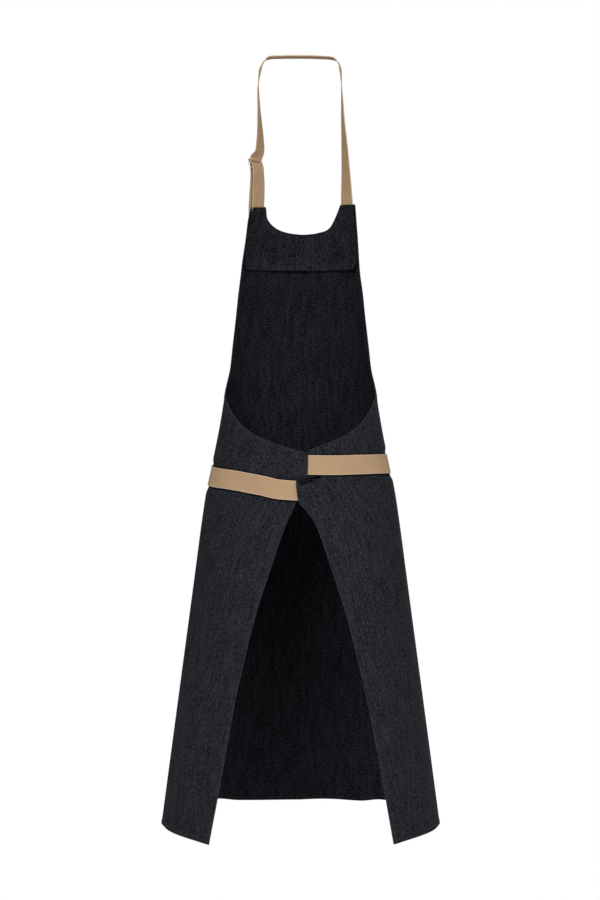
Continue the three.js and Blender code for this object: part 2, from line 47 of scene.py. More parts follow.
FLOOR_DROP = 1.4
FLOOR_RADIUS = 1.25
FLOOR_SIDES = 96
PAPER_GRAIN = {"Scale": 60.0, "Detail": 3.0}
PAPER_TONES = ((0.82, 0.82, 0.81, 1), (0.86, 0.86, 0.85, 1))
WHITE = (1, 1, 1, 1)
SURROUND_ABOVE = 0.6
SURROUND_BELOW = 0.14
SURROUND_TURN = 0.7
LAMPS = {
    "key_lamp": {"at": (-1.1, -3.3, 0.75), "side": 1.6, "watts": 68},
    "fill_lamp": {"at": (2.2, -3.0, 0.0), "side": 2.4, "watts": 44},
    "back_lamp": {"at": (0.6, 3.4, 0.7), "side": 2.6, "watts": 80},
}
AIM = Vector((0, 0, -0.5))

scene = bpy.context.scene
scene.view_settings.view_transform = "Standard"
scene.camera = bpy.data.objects.new("camera", bpy.data.cameras.new("camera"))
scene.camera.data.lens = LENS_MM
scene.camera.location = CAMERA_AT
scene.camera.rotation_euler = (math.pi / 2, 0, 0)
scene.collection.objects.link(scene.camera)


class Wire:
    """A socket of a material's nodes, so that shader maths reads as plain arithmetic."""

    def __init__(self, tree, socket):
        self.tree = tree
        self.socket = socket

    def node(self, kind, settings=None, sockets=None, output=0):
        """Adds a node: its settings first, then its sockets' values or links. Gives one output's wire."""
        made = self.tree.nodes.new(kind)
        for name, setting in (settings or {}).items():
            setattr(made, name, setting)
        for name, given in (sockets or {}).items():
            if isinstance(given, Wire):
                self.tree.links.new(given.socket, made.inputs[name])
            else:
                made.inputs[name].default_value = given
        return Wire(self.tree, made.outputs[output])

    def maths(self, operation, first, second):
        return self.node("ShaderNodeMath", {"operation": operation}, {0: first, 1: second})

    def __add__(self, other):
        return self.maths("ADD", self, other)

    def __radd__(self, other):
        return self.maths("ADD", other, self)

    def __sub__(self, other):
        return self.maths("SUBTRACT", self, other)

    def __rsub__(self, other):
        return self.maths("SUBTRACT", other, self)

    def __mul__(self, other):
        return self.maths("MULTIPLY", self, other)

    def __rmul__(self, other):
        return self.maths("MULTIPLY", other, self)

    def between(self, low, high):
        """0 below low, 1 above high, and smooth between them."""
        steps = {"interpolation_type": "SMOOTHSTEP"}
        return self.node("ShaderNodeMapRange", steps, {"Value": self, "From Min": low, "From Max": high})

    def mixed(self, first, second):
        """A colour between two, by this value. Sockets go by number here, because their names repeat."""
        settings = {"data_type": "RGBA"}
        return self.node("ShaderNodeMix", settings, {0: self, 6: first, 7: second}, output=2)


scene.world = bpy.data.worlds.new("studio")
scene.world.use_nodes = True
scene.world.node_tree.nodes.clear()
surround = Wire(scene.world.node_tree, None)
direction = surround.node("ShaderNodeTexCoord", output="Generated")
upward = surround.node("ShaderNodeSeparateXYZ", None, {0: direction}, output="Z")
lightness = upward.between(-SURROUND_TURN, SURROUND_TURN)
glow = SURROUND_BELOW + lightness * (SURROUND_ABOVE - SURROUND_BELOW)
soft_light = surround.node("ShaderNodeBackground", None, {"Color": WHITE, "Strength": glow})
seen_white = surround.node("ShaderNodeBackground", None, {"Color": WHITE, "Strength": 1.0})
camera_ray = surround.node("ShaderNodeLightPath", output="Is Camera Ray")
either = surround.node("ShaderNodeMixShader", None, {0: camera_ray, 1: soft_light, 2: seen_white})
surround_output = scene.world.node_tree.nodes.new("ShaderNodeOutputWorld")
scene.world.node_tree.links.new(either.socket, surround_output.inputs["Surface"])

for lamp_name, lamp in LAMPS.items():
    softbox = bpy.data.lights.new(lamp_name, "AREA")
    softbox.size = lamp["side"]
    softbox.energy = lamp["watts"]
    softbox_object = bpy.data.objects.new(lamp_name, softbox)
    softbox_object.location = lamp["at"]
    facing_way = AIM - Vector(lamp["at"])
    softbox_object.rotation_euler = facing_way.to_track_quat("-Z", "Y").to_euler()
    softbox_object.visible_camera = False
    scene.collection.objects.link(softbox_object)


def start_finish(name, **constants):
    """A new material: its surface shader with constant values set, and a wire to build from."""
    material = bpy.data.materials.new(name)
    material.use_nodes = True
    shader = material.node_tree.nodes["Principled BSDF"]
    for socket, value in constants.items():
        shader.inputs[socket.replace("_", " ")].default_value = value
    return material, shader, Wire(material.node_tree, None)


def finish_with(shader, **wires):
    """Feeds wires into the shader's named sockets."""
    for socket, wire in wires.items():
        wire.tree.links.new(wire.socket, shader.inputs[socket.replace("_", " ")])


floor_mesh = bmesh.new()
bmesh.ops.create_circle(floor_mesh, cap_ends=True, segments=FLOOR_SIDES, radius=FLOOR_RADIUS)
bmesh.ops.translate(floor_mesh, verts=floor_mesh.verts, vec=(0, 0, -FLOOR_DROP))
floor_data = bpy.data.meshes.new("floor")
floor_mesh.to_mesh(floor_data)
floor_mesh.free()
floor = bpy.data.objects.new("floor", floor_data)
scene.collection.objects.link(floor)
paper, paper_shader, paper_start = start_finish("pale_paper", Roughness=0.9)
grain = paper_start.node("ShaderNodeTexNoise", None, PAPER_GRAIN)
finish_with(paper_shader, Base_Color=grain.mixed(*PAPER_TONES))
floor_data.materials.append(paper)

# Apron body: one sheet of dark denim cut as bib, skirt and two wraps that cross at the back.
# It has a narrow turned hem all round. It is worn, so it keeps the oval of chest, waist and skirt.
# Sizes are in millimetres of drop below the neck strap, and in degrees round from the front.
MM = 0.001
DENIM = 1.2
GAP = 0.5
TIE_CLEAR = 0.45
TIE_THICKNESS = 1.4
TIE_WIDTH = 25.4
TIE_LAYER = DENIM + TIE_CLEAR
TONGUE_LIFT = TIE_LAYER + TIE_THICKNESS + GAP
EAR_TOP_LEFT = 188.2
EAR_TOP_RIGHT = 185
EAR_TOP = (EAR_TOP_LEFT + EAR_TOP_RIGHT) / 2
EAR_ANGLE_LEFT = -46.9
EAR_ANGLE_RIGHT = 45.7
HEM_ROW = 998
HEM_DIPS_FROM = 700
HEM_WIDTH = 5.5
HEM_EXTRA = 0.8
NORMAL_STEP = 0.5

WORN_FORM = {
    "drop": [180, 230, 272, 327, 388, 428, 448, 487, 526, 565, 604, 682, 838, 1000],
    "half_width": [82, 87.8, 92.8, 96.1, 97.8, 97.4, 99.7, 105.9, 113.6, 121.7, 127.5, 137.7, 158.3, 179.6],
    "centre_x": [3.5, 2, 0.3, 0, 0, 0, 0, 0, 0, 0, 0, 0, 0, 0],
    "centre_y": [8.5, 21, 31, 30, 23, 17, 14, 9, 4, 0, -4, -8, -16, -24],
    "front": [68, 66, 65, 72, 79, 83, 84, 85, 86, 92, 101, 117, 153, 193],
    "back": [60, 66, 70, 78, 82, 84, 85, 86.5, 88, 93, 98, 116, 158, 217],
    "flat": [1, 1, 1, 1, 1, 1, 1, 1, 1, 1, 1, 1.12, 1.33, 1.75],
}
CLOTH_EDGES = {
    "drop": [
        180, 211, 230, 272, 307, 327, 388, 408, 428, 448, 464, 483, 495, 503, 510, 514.6, 518.2, 549.5, 551,
        553, 580, 590, 605.6, 661, 720, 779, 825, 904, 1000,
    ],
    "left": [
        54.4, 58, 57.9, 58.3, 60.6, 62, 68.6, 72.6, 84, 104.5, 119.2, 135.5, 148.6, 159.6, 169.5, 178, 184.6,
        184, 183.8, 183.4, 177.5, 175.5, 172.2, 164.2, 157, 152, 148.8, 145.3, 141,
    ],
    "right": [
        56, 56.6, 57, 57.5, 60.6, 62, 68.8, 72.8, 84.5, 105.5, 120, 135.8, 148.6, 159.4, 169.3, 174.8, 174.9,
        175, 175.6, 182.7, 181.2, 177.3, 172.1, 163.8, 156.7, 151.5, 148.3, 144.2, 140.3,
    ],
}
HEM_LINE = {
    "round": [0, 12, 28, 39, 90, 141],
    "drop": [998.9, 997.4, 995.7, 990.9, 998.3, 1000],
}
NECKLINE = {
    "x": [-48, -46.8, -46, -42, -36.4, -28.5, -20, -9, 4, 17, 28, 34, 39, 44.2, 49.5, 54.7, 57],
    "drop": [
        180, 190, 199.6, 207, 212.8, 217.7, 220.4, 222.4, 223.3, 222.3, 220.2, 218.4, 214.9, 207.4, 197.2,
        184.2, 177,
    ],
}
NECKLINE_BOTTOM = 223.3
NECKLINE_NEAR = 22
FLUTES_FULL = 1060
SKIRT_FLUTES = [
    {"angle": -64, "spread": 26, "from": 640, "depth": -4},
    {"angle": -38, "spread": 22, "from": 600, "depth": 5},
    {"angle": -15, "spread": 18, "from": 640, "depth": -5},
    {"angle": 8, "spread": 18, "from": 620, "depth": 5},
    {"angle": 32, "spread": 20, "from": 640, "depth": -5},
    {"angle": 58, "spread": 24, "from": 600, "depth": 4},
    {"angle": -118, "spread": 20, "from": 640, "depth": 4},
    {"angle": 116, "spread": 20, "from": 660, "depth": 4},
]
TIE_RUN_RIGHT = {
    "angle": [-5, 5, 25, 42, 90, 135, 160, 188],
    "drop": [531.7, 531.7, 531.7, 531.7, 531.7, 532.5, 533.3, 532.5],
    "layer": [3, 3, 3, 0, 0, 0, 0, 0],
}
TIE_RUN_LEFT = {
    "angle": [-184.5, -178, -168, -156, -147, -130, -90, -50, -38, -23, -5, 5],
    "drop": [565.5, 565.4, 564.4, 559.2, 556.2, 552, 546.8, 536.5, 534, 532, 531.7, 531.7],
    "layer": [0, 0, 0.9, 0.4, 0, 0, 0, 0, 0, 1.3, 1.3, 1.3],
}
TIE_PRESS = {"depth": 2, "from": (48, 66), "to": (140, 156), "beside": (14, 23)}
TONGUES = {
    "left": {"angle": (157, 171), "rises": (488, 512), "falls": (545.5, 551.5)},
    "right": {"angle": (154, 169), "rises": (545, 552.8), "falls": (581, 612)},
}
PINCH = {
    "from": (179.2, 555.5),
    "to": (168.6, 548.8),
    "mm_per_degree": 2.1,
    "swells": (8.5, 14),
    "fades": (-4, 5),
    # How far the painted shade in the crease reaches, at the crease's start and at its end.
    "dark": (2.5, 0.5),
    "folds": [
        {"beside": -3, "wide": 1.3, "high": 1.6},
        {"beside": 0, "wide": 1.7, "high": -9},
        {"beside": 4, "wide": 1.8, "high": 1.4},
    ],
}


def ramp(value, bounds):
    """0 before the first bound, 1 after the second, and smooth between them."""
    low, high = bounds
    t = np.clip((value - low) / (high - low), 0, 1)
    return t * t * (3 - 2 * t)


def curve_through(table, key, name):
    """A smooth curve through one column of a table, without overshoot between its rows."""
    xs = np.array(table[key], float)
    ys = np.array(table[name], float)
    slopes = np.diff(ys) / np.diff(xs)
    product = slopes[:-1] * slopes[1:]
    total = slopes[:-1] + slopes[1:]
    level = product <= 0
    inner = np.where(level, 0, 2 * product / np.where(level, 1, total))
    tangents = np.concatenate([slopes[:1], inner, slopes[-1:]])

    def at(x):
        i = np.clip(np.searchsorted(xs, x) - 1, 0, len(xs) - 2)
        span = xs[i + 1] - xs[i]
        t = np.clip((x - xs[i]) / span, 0, 1)
        rise = ys[i + 1] - ys[i]
        start = tangents[i] * span
        end = tangents[i + 1] * span
        return ys[i] + t * (start + t * (3 * rise - 2 * start - end + t * (start + end - 2 * rise)))

    return at


form = {name: curve_through(WORN_FORM, "drop", name) for name in WORN_FORM if name != "drop"}
edge_left = curve_through(CLOTH_EDGES, "drop", "left")
edge_right = curve_through(CLOTH_EDGES, "drop", "right")
hem_line = curve_through(HEM_LINE, "round", "drop")
scoop = curve_through(NECKLINE, "x", "drop")
tie_drop_left = curve_through(TIE_RUN_LEFT, "angle", "drop")
tie_drop_right = curve_through(TIE_RUN_RIGHT, "angle", "drop")


def beside_tie(angle, drop):
    """Distance up or down from the middle of the tie that crosses the cloth at an angle."""
    return np.abs(drop - np.where(angle < 0, tie_drop_left(angle), tie_drop_right(angle)))


def pushed_out(angle, drop):
    """How far the skirt's flutes and the ties' press move the cloth out from the plain oval."""
    out = np.zeros(np.broadcast(angle, drop).shape)
    for fold in SKIRT_FLUTES:
        away = np.minimum(1, np.abs(angle - fold["angle"]) / fold["spread"])
        deep = ramp(drop, (fold["from"], FLUTES_FULL))
        out = out + fold["depth"] * np.cos(away * math.pi / 2) ** 2 * deep
    strength = ramp(np.abs(angle), TIE_PRESS["from"]) * (1 - ramp(np.abs(angle), TIE_PRESS["to"]))
    return out - TIE_PRESS["depth"] * strength * (1 - ramp(beside_tie(angle, drop), TIE_PRESS["beside"]))


def form_point(angle, drop):
    """A point of the worn form in millimetres, on the cloth's inner face."""
    sine = np.sin(np.radians(angle))
    cosine = np.cos(np.radians(angle))
    out = pushed_out(angle, drop)
    behind = np.maximum(-cosine, 0) ** form["flat"](drop)
    depth = np.where(cosine > 0, form["front"](drop) * cosine, -form["back"](drop) * behind)
    x = form["centre_x"](drop) + (form["half_width"](drop) + out) * sine
    y = form["centre_y"](drop) + depth + out * cosine
    return np.stack(np.broadcast_arrays(x, y, -np.asarray(drop, float)), axis=-1)


def unit(vectors):
    """The same directions, with a length of one."""
    return vectors / np.linalg.norm(vectors, axis=-1, keepdims=True)


def form_normal(angle, drop):
    """The way out from the worn form, square to it."""
    round_way = form_point(angle + NORMAL_STEP, drop) - form_point(angle - NORMAL_STEP, drop)
    down_way = form_point(angle, drop + NORMAL_STEP) - form_point(angle, drop - NORMAL_STEP)
    return unit(np.cross(round_way, down_way))


def on_form(angle, drop, away):
    """A point at a distance outward from the cloth's inner face."""
    return form_point(angle, drop) + form_normal(angle, drop) * np.asarray(away)[..., None]


def wrap_lift(angle, drop):
    """The tips of the wraps stand off the waist to let a tie under them."""
    lifts = []
    for tongue in (TONGUES["left"], TONGUES["right"]):
        near = ramp(np.abs(angle), tongue["angle"])
        lifts.append(TONGUE_LIFT * near * ramp(drop, tongue["rises"]) * (1 - ramp(drop, tongue["falls"])))
    return np.where(angle < 0, lifts[0], lifts[1])


def at_crease(angle, drop):
    """Millimetres along and beside the crease in the right wrap's tip, and its length."""
    scale = PINCH["mm_per_degree"]
    start = np.array(PINCH["from"]) * (scale, 1)
    way = np.array(PINCH["to"]) * (scale, 1) - start
    length = np.linalg.norm(way)
    way = way / length
    along = (angle * scale - start[0]) * way[0] + (drop - start[1]) * way[1]
    beside = (angle * scale - start[0]) * way[1] - (drop - start[1]) * way[0]
    return along, beside, length


def pinch(angle, drop):
    """The crease that a tie pulls into the right wrap's tip: a deep valley between two ridges."""
    along, beside, length = at_crease(angle, drop)
    strength = ramp(along, PINCH["swells"]) * (1 - ramp(along - length, PINCH["fades"]))
    rise = 0
    for fold in PINCH["folds"]:
        rise = rise + fold["high"] * np.exp(-(((beside - fold["beside"]) / fold["wide"]) ** 2))
    return np.where(angle > 0, rise * strength, 0)


def off_crease(angle, drop):
    """Distance out from the painted shade along the bottom of the crease, which is widest where the tie
    pulls.
    """
    along, beside, length = at_crease(angle, drop)
    past = np.maximum(0, np.abs(along - length / 2) - length / 2)
    taper = 1 - np.clip(along / length, 0, 1)
    reach = PINCH["dark"][0] * taper + PINCH["dark"][1] * (1 - taper)
    return np.where(angle > 0, np.hypot(past, beside) - reach, np.inf)


def cloth_lift(angle, drop):
    """How far the cloth stands off the worn form, at the wraps' tips and at the crease."""
    return wrap_lift(angle, drop) + pinch(angle, drop)


def row_drop(angle, drop):
    """Rows follow the ears at the top and the waving hem at the bottom."""
    sideways = np.clip(angle / EAR_ANGLE_RIGHT, -1, 1)
    tilt = (EAR_TOP_RIGHT - EAR_TOP_LEFT) / 2 * sideways * (1 - ramp(drop, (EAR_TOP, NECKLINE_BOTTOM)))
    dip = hem_line(np.abs(angle)) - HEM_ROW
    return drop + tilt + dip * ramp(drop, (HEM_DIPS_FROM, HEM_ROW))


# The sheet is a grid. Its rows are level below the bib and follow the scoop of the neckline above.
# Its columns keep a hem of even width at both free edges.
BODY_BANDS = [
    {"from": 187, "to": 197, "rows": 7},
    {"from": 197, "to": 275, "rows": 19},
    {"from": 275, "to": 428, "rows": 22},
    {"from": 428, "to": 512, "rows": 38},
    {"from": 512, "to": 545, "rows": 14},
    {"from": 545, "to": 565, "rows": 26},
    {"from": 565, "to": 612, "rows": 14},
    {"from": 612, "to": 984, "rows": 36},
    {"from": 984, "to": HEM_ROW, "rows": 10},
]
HEM_COLUMNS = np.array([0, 0.5, 1.2, 2.6, 4.2, 5.0, 5.6, 6.2, 7.2])
INNER_COLUMNS = 204
EDGE_CROWDING = 1.5
EDGE_STEEPEST = 4
SCOOP_SHARE = 0.8
SCOOP_REACH = 0.775
SCOOP_FADES = (187, 300)
SCOOP_ROUNDS = 16
EAR_CORNER = 2.2
EAR_WIDE = 22
EAR_FALL = 1.1


def bands_to_rows(bands):
    """The levels of a grid's rows, evenly spaced within each band."""
    rows = [np.linspace(band["from"], band["to"], band["rows"], endpoint=False) for band in bands]
    return np.concatenate(rows + [[bands[-1]["to"]]])


def scoop_drop(x, spare):
    """The neckline's drop at a distance across, with a spare width all round."""
    middle = NECKLINE["x"][0] + (NECKLINE["x"][-1] - NECKLINE["x"][0]) / 2
    return scoop(x - spare * np.sign(x - middle)) + spare


def hem_angle(side, drop, inset):
    """The angle that lies inset millimetres inside a free edge, square to that edge."""
    edge = -edge_left(drop) if side < 0 else edge_right(drop)
    ahead = -edge_left(drop + 1) if side < 0 else edge_right(drop + 1)
    rate = np.linalg.norm(form_point(edge, drop) - form_point(edge - side, drop), axis=-1)
    slant = np.minimum(np.abs(ahead - edge) * rate, EDGE_STEEPEST)
    return edge - side * inset * np.sqrt(1 + slant**2) / rate


def side_distance(angles, drops):
    """Millimetres from each point to the nearer side edge of the cloth."""
    nearest = np.full(angles.shape, np.inf)
    for side in (-1, 1):
        edge = hem_angle(side, drops, 0)
        degrees_per_mm = np.abs(hem_angle(side, drops, 1) - edge)
        nearest = np.minimum(nearest, np.abs(edge - angles) / degrees_per_mm)
    return nearest


def top_edge(angles, level, spare):
    """The drop of the cloth's top edge: the scoop, and ears that fall outwards to round corners."""
    top = np.full(angles.shape, level)
    for _ in range(SCOOP_ROUNDS):
        top = (top + np.maximum(level, scoop_drop(form_point(angles, top)[:, 0], spare))) / 2
    outer = side_distance(angles, top)
    short = np.clip(1 - outer / EAR_CORNER, 0, 1)
    rounded = EAR_CORNER * (1 - np.sqrt(1 - short**2))
    return top + rounded + EAR_FALL * np.clip(1 - outer / EAR_WIDE, 0, 1)


def cloth_grid(rows, inner_columns, hem_columns, spare=0, fades=SCOOP_FADES):
    """Angles and drops of a grid over the cloth, from its left edge to its right, by rows."""
    across = np.linspace(-1, 1, inner_columns + 1)
    reach = np.abs(across)
    beside = np.maximum(0, reach - SCOOP_SHARE) / (1 - SCOOP_SHARE)
    curved = SCOOP_REACH * np.sin(np.minimum(reach / SCOOP_SHARE, 1) * math.pi / 2)
    at_scoop = np.sign(across) * (curved + (1 - SCOOP_REACH) * beside)
    fade = 1 - ramp(rows, fades)[:, None]
    crowded = np.sign(across) * (1 - (1 - reach) ** EDGE_CROWDING)
    share = crowded + (at_scoop - crowded) * fade
    inner_left = hem_angle(-1, rows, hem_columns[-1])[:, None]
    inner_right = hem_angle(1, rows, hem_columns[-1])[:, None]
    inner = np.where(share < 0, -share * inner_left, share * inner_right)
    left = np.stack([hem_angle(-1, rows, inset) for inset in hem_columns[:-1]], axis=1)
    right = np.stack([hem_angle(1, rows, inset) for inset in hem_columns[:-1]], axis=1)
    angles = np.concatenate([left, inner, right[:, ::-1]], axis=1)
    lowered = top_edge(angles[0], rows[0], spare) - rows[0]
    return angles, rows[:, None] + lowered * fade


def edge_distance(angles, drops):
    """Millimetres from each grid point to the nearest edge of the cloth."""
    nearest = side_distance(angles, drops)
    top = form_point(angles[0], drops[0])
    for row in np.flatnonzero(drops.min(axis=1) < NECKLINE_BOTTOM + NECKLINE_NEAR):
        apart = form_point(angles[row], drops[row])[:, None] - top[None]
        nearest[row] = np.minimum(nearest[row], np.linalg.norm(apart, axis=-1).min(axis=1))
    return np.minimum(nearest, HEM_ROW - drops)


def grid_object(name, points, uv, layers):
    """A mesh of a rows by columns grid: its places in metres, its UV map and named point values."""
    rows, columns = points.shape[:2]
    mesh = bmesh.new()
    bmesh.ops.create_grid(mesh, x_segments=columns - 1, y_segments=rows - 1, size=1)
    mesh.verts.ensure_lookup_table()
    flat_points = points.reshape(-1, 3) * MM
    flat_uv = uv.reshape(-1, 2) * MM
    values = [(mesh.verts.layers.float.new(key), value.ravel()) for key, value in layers.items()]
    for i, vertex in enumerate(mesh.verts):
        vertex.co = flat_points[i]
        for layer, value in values:
            vertex[layer] = value[i]
    uv_layer = mesh.loops.layers.uv.new("cloth")
    for face in mesh.faces:
        face.smooth = True
        for loop in face.loops:
            loop[uv_layer].uv = flat_uv[loop.vert.index]
    data = bpy.data.meshes.new(name)
    mesh.to_mesh(data)
    mesh.free()
    made = bpy.data.objects.new(name, data)
    scene.collection.objects.link(made)
    return made


def thicken(piece, thickness, shares, inside_slot=0):
    """Gives a sheet its thickness about its middle face, with a share of it at each point."""
    group = piece.vertex_groups.new(name="thickness")
    for i, share in enumerate(shares.ravel()):
        group.add([i], float(share), "REPLACE")
    wall = piece.modifiers.new("wall", "SOLIDIFY")
    wall.thickness = thickness * MM
    wall.offset = 0
    wall.vertex_group = "thickness"
    wall.material_offset = inside_slot
    wall.material_offset_rim = 0


def arc_lengths(points):
    """Distance of each point along its row, from the row's middle, negative to the left."""
    steps = np.linalg.norm(np.diff(points, axis=1), axis=-1)
    total = np.concatenate([np.zeros((len(points), 1)), np.cumsum(steps, axis=1)], axis=1)
    middle = points.shape[1] // 2
    return total - total[:, middle : middle + 1]


GRAIN_FROM = 606
HEM_STEP = (HEM_WIDTH - 0.4, HEM_WIDTH + 0.6)
EDGE_SHARE = 0.55
EDGE_ROUND = (0, 0.8)


def rounded_off(shares, edge):
    """The shares of a cloth's thickness, made less right at its edge so that the hem looks turned."""
    return shares * (EDGE_SHARE + (1 - EDGE_SHARE) * ramp(edge, EDGE_ROUND))


body_rows = bands_to_rows(BODY_BANDS)
body_angles, body_level = cloth_grid(body_rows, INNER_COLUMNS, HEM_COLUMNS)
body_edge = edge_distance(body_angles, body_level)
body_drops = row_drop(body_angles, body_level)
body_points = on_form(body_angles, body_drops, cloth_lift(body_angles, body_drops) + DENIM / 2)
body_arc = arc_lengths(body_points)
# Below the hips the yarns fan out with the flare of the skirt, so the map keeps one width there.
girths = np.ptp(body_arc, axis=1)
narrowing = np.where(body_rows > GRAIN_FROM, girths[np.searchsorted(body_rows, GRAIN_FROM)] / girths, 1)
body_uv = np.stack([body_arc * narrowing[:, None], -body_drops], axis=-1)
# Distance from the ties' edges and from the crease: the outer denim is painted darker there as their shade.
painted_shade_distance = beside_tie(body_angles, body_drops) - TIE_WIDTH / 2
painted_shade_distance = np.minimum(painted_shade_distance, off_crease(body_angles, body_drops))
body_layers = {"edge": body_edge * MM, "tie": painted_shade_distance * MM}
apron_body = grid_object("apron_body_cloth", body_points, body_uv, body_layers)
plain_share = DENIM / (DENIM + HEM_EXTRA)
body_share = 1 - (1 - plain_share) * ramp(body_edge, HEM_STEP)
thicken(apron_body, DENIM + HEM_EXTRA, rounded_off(body_share, body_edge), inside_slot=1)

DENIM_YARNS = {
    "streaks": {"detail": 2.0, "between": (0.38, 0.62), "tone": 0.4},
    "specks": {"detail": 1.0, "between": (0.48, 0.7), "tone": 0.46},
    "slubs": {"detail": 2.0, "between": (0.3, 0.7), "tone": 0.26},
    "clouds": {"detail": 3.0, "between": (0.25, 0.75), "tone": 0.12},
}
DENIM_CLOUDS = (52, 36)
DENIM_THREADS = {"scale": (1900, 1900), "detail": 1.0}
DENIM_DARKENED = 0.12
DENIM_RELIEF = {"twill": 0.5, "threads": 0.5, "streaks": 0.6}
DENIM_BUMP = {"Strength": 0.35, "Distance": 0.0003}
DENIM_ROUGH = {"plain": 0.98, "streaks": 0.12}
TWILL_SLANT = 33
TWILL_SCALE = 290.0
HEM_WEAR_AND_SHADE_BAND = (0.0003, 0.0014)
PAINTED_SHADE_BAND = (0.0006, 0.0022)


def yarns(start, cloth, scale, detail):
    """Uneven yarns on the cloth's UV map, so many to the metre across and along."""
    stretched = {0: cloth, 1: (*scale, 1)}
    scaled = start.node("ShaderNodeVectorMath", {"operation": "MULTIPLY"}, stretched)
    return start.node("ShaderNodeTexNoise", None, {"Vector": scaled, "Scale": 1.0, "Detail": detail})


def point_value(start, name):
    """A value that the mesh carries at its points, in metres."""
    return start.node("ShaderNodeAttribute", {"attribute_name": name}, None, output="Fac")


def denim(name, dark, light, scales, hem_wear_and_shade, painted_shade=0):
    """Yarn-dyed denim: streaks along its stronger yarns, specks of pale yarn, and a fine twill.

    Its hems are worn paler, or painted darker as the shade of a folded hem. Beside a tie and along a crease
    it is painted darker as their shade."""
    material, shader, start = start_finish(name, Specular_IOR_Level=0.04)
    cloth = start.node("ShaderNodeUVMap", {"uv_map": "cloth"})
    # Along the hems: paler for wear with a positive weight, darker as painted shade of the folded hem with a
    # negative one.
    tone = (1 - point_value(start, "edge").between(*HEM_WEAR_AND_SHADE_BAND)) * hem_wear_and_shade - DENIM_DARKENED
    seen = {}
    for yarn, look in DENIM_YARNS.items():
        seen[yarn] = yarns(start, cloth, scales[yarn], look["detail"]).between(*look["between"])
        tone = tone + seen[yarn] * look["tone"]
    # Painted shade: darker next to the ties and along the crease.
    if painted_shade:
        tone = tone - (1 - point_value(start, "tie").between(*PAINTED_SHADE_BAND)) * painted_shade
    slant = {"Vector": cloth, "Rotation": (0, 0, math.radians(TWILL_SLANT))}
    slanted = start.node("ShaderNodeMapping", None, slant)
    seen["twill"] = start.node(
        "ShaderNodeTexWave", {"bands_direction": "X"}, {"Vector": slanted, "Scale": TWILL_SCALE}
    )
    seen["threads"] = yarns(start, cloth, **DENIM_THREADS)
    twill, threads, streaks = (seen[yarn] * rise for yarn, rise in DENIM_RELIEF.items())
    bump = start.node("ShaderNodeBump", None, {"Height": twill + threads + streaks, **DENIM_BUMP})
    rough = DENIM_ROUGH["plain"] - seen["streaks"] * DENIM_ROUGH["streaks"]
    finish_with(shader, Base_Color=tone.mixed(dark, light), Roughness=rough, Normal=bump)
    return material


denim_outside = denim(
    "denim_outside",
    dark=(0.0042, 0.0046, 0.0066, 1),
    light=(0.0405, 0.0426, 0.0512, 1),
    scales={"streaks": (820, 240), "specks": (1000, 380), "slubs": (300, 34), "clouds": DENIM_CLOUDS},
    hem_wear_and_shade=0.25,
    # Painted shade beside the ties and in the crease.
    painted_shade=0.8,
)
# The inner face's colour is set darker than the outer face's, as painted shade of the apron's inside.
denim_inside_painted_shade = denim(
    "denim_inside_painted_shade",
    dark=(0.0026, 0.003, 0.0042, 1),
    light=(0.0222, 0.0238, 0.0292, 1),
    scales={"streaks": (210, 640), "specks": (620, 480), "slubs": (190, 24), "clouds": DENIM_CLOUDS},
    hem_wear_and_shade=0.2,
)
apron_body.data.materials.append(denim_outside)
apron_body.data.materials.append(denim_inside_painted_shade)
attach(apron_body, "root")
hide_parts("apron_body")

# Bib facing: a band of the same denim behind the top of the bib, turned and stitched at the neckline.
# Its lower edge has a double-stitched hem that hangs free and stands off the bib a little.
STRAP_THICKNESS = 1.4
STRAP_CLEAR = 0.25
EAR_LAYER = -STRAP_CLEAR - STRAP_THICKNESS
FACING_BOTTOM = 272.5
FACING_CLEAR = 0.5
FACING_SETTLES = (207, 226)
FACING_FADES = (187, 262)
FACING_LIFT = {"from": 255, "mean": 4.4, "swing": 2.6, "waves": 6, "phase": 40}
FACING_INSET = {"ears": 0.3, "below": 2.4, "between": (196, 222)}
FACING_CAUGHT = (0.2, 0.75)
FACING_BANDS = [
    {"from": 187, "to": 196, "rows": 7},
    {"from": 196, "to": 258, "rows": 24},
    {"from": 258, "to": FACING_BOTTOM, "rows": 16},
]
FACING_COLUMNS = 120
FACING_EDGE_COLUMNS = (0, 0.5, 1.2, 2.4)
FACING_SPARE = 0.5
FACING_HEM_TOP = FACING_BOTTOM - 9
FACING_HEM_STEP = (FACING_HEM_TOP - 0.8, FACING_HEM_TOP)
FACING_PLAIN_SHARE = 0.7
FACING_HEM_WALL = DENIM / FACING_PLAIN_SHARE
FACING_CUT_ASIDE = 700


def ear_room(level):
    """The room for a strap between the two cloths of an ear, inwards as a minus."""
    return EAR_LAYER * (1 - ramp(level, FACING_SETTLES))


def facing_depth(angle, level):
    """How far the facing's middle lies from the cloth's inner face, inwards as a minus."""
    wave = np.cos(np.radians(angle * FACING_LIFT["waves"] + FACING_LIFT["phase"]))
    free = ramp(level, (FACING_LIFT["from"], FACING_BOTTOM))
    lift = (FACING_LIFT["mean"] + FACING_LIFT["swing"] * wave) * free
    return ear_room(level) - lift - FACING_CLEAR - DENIM / 2


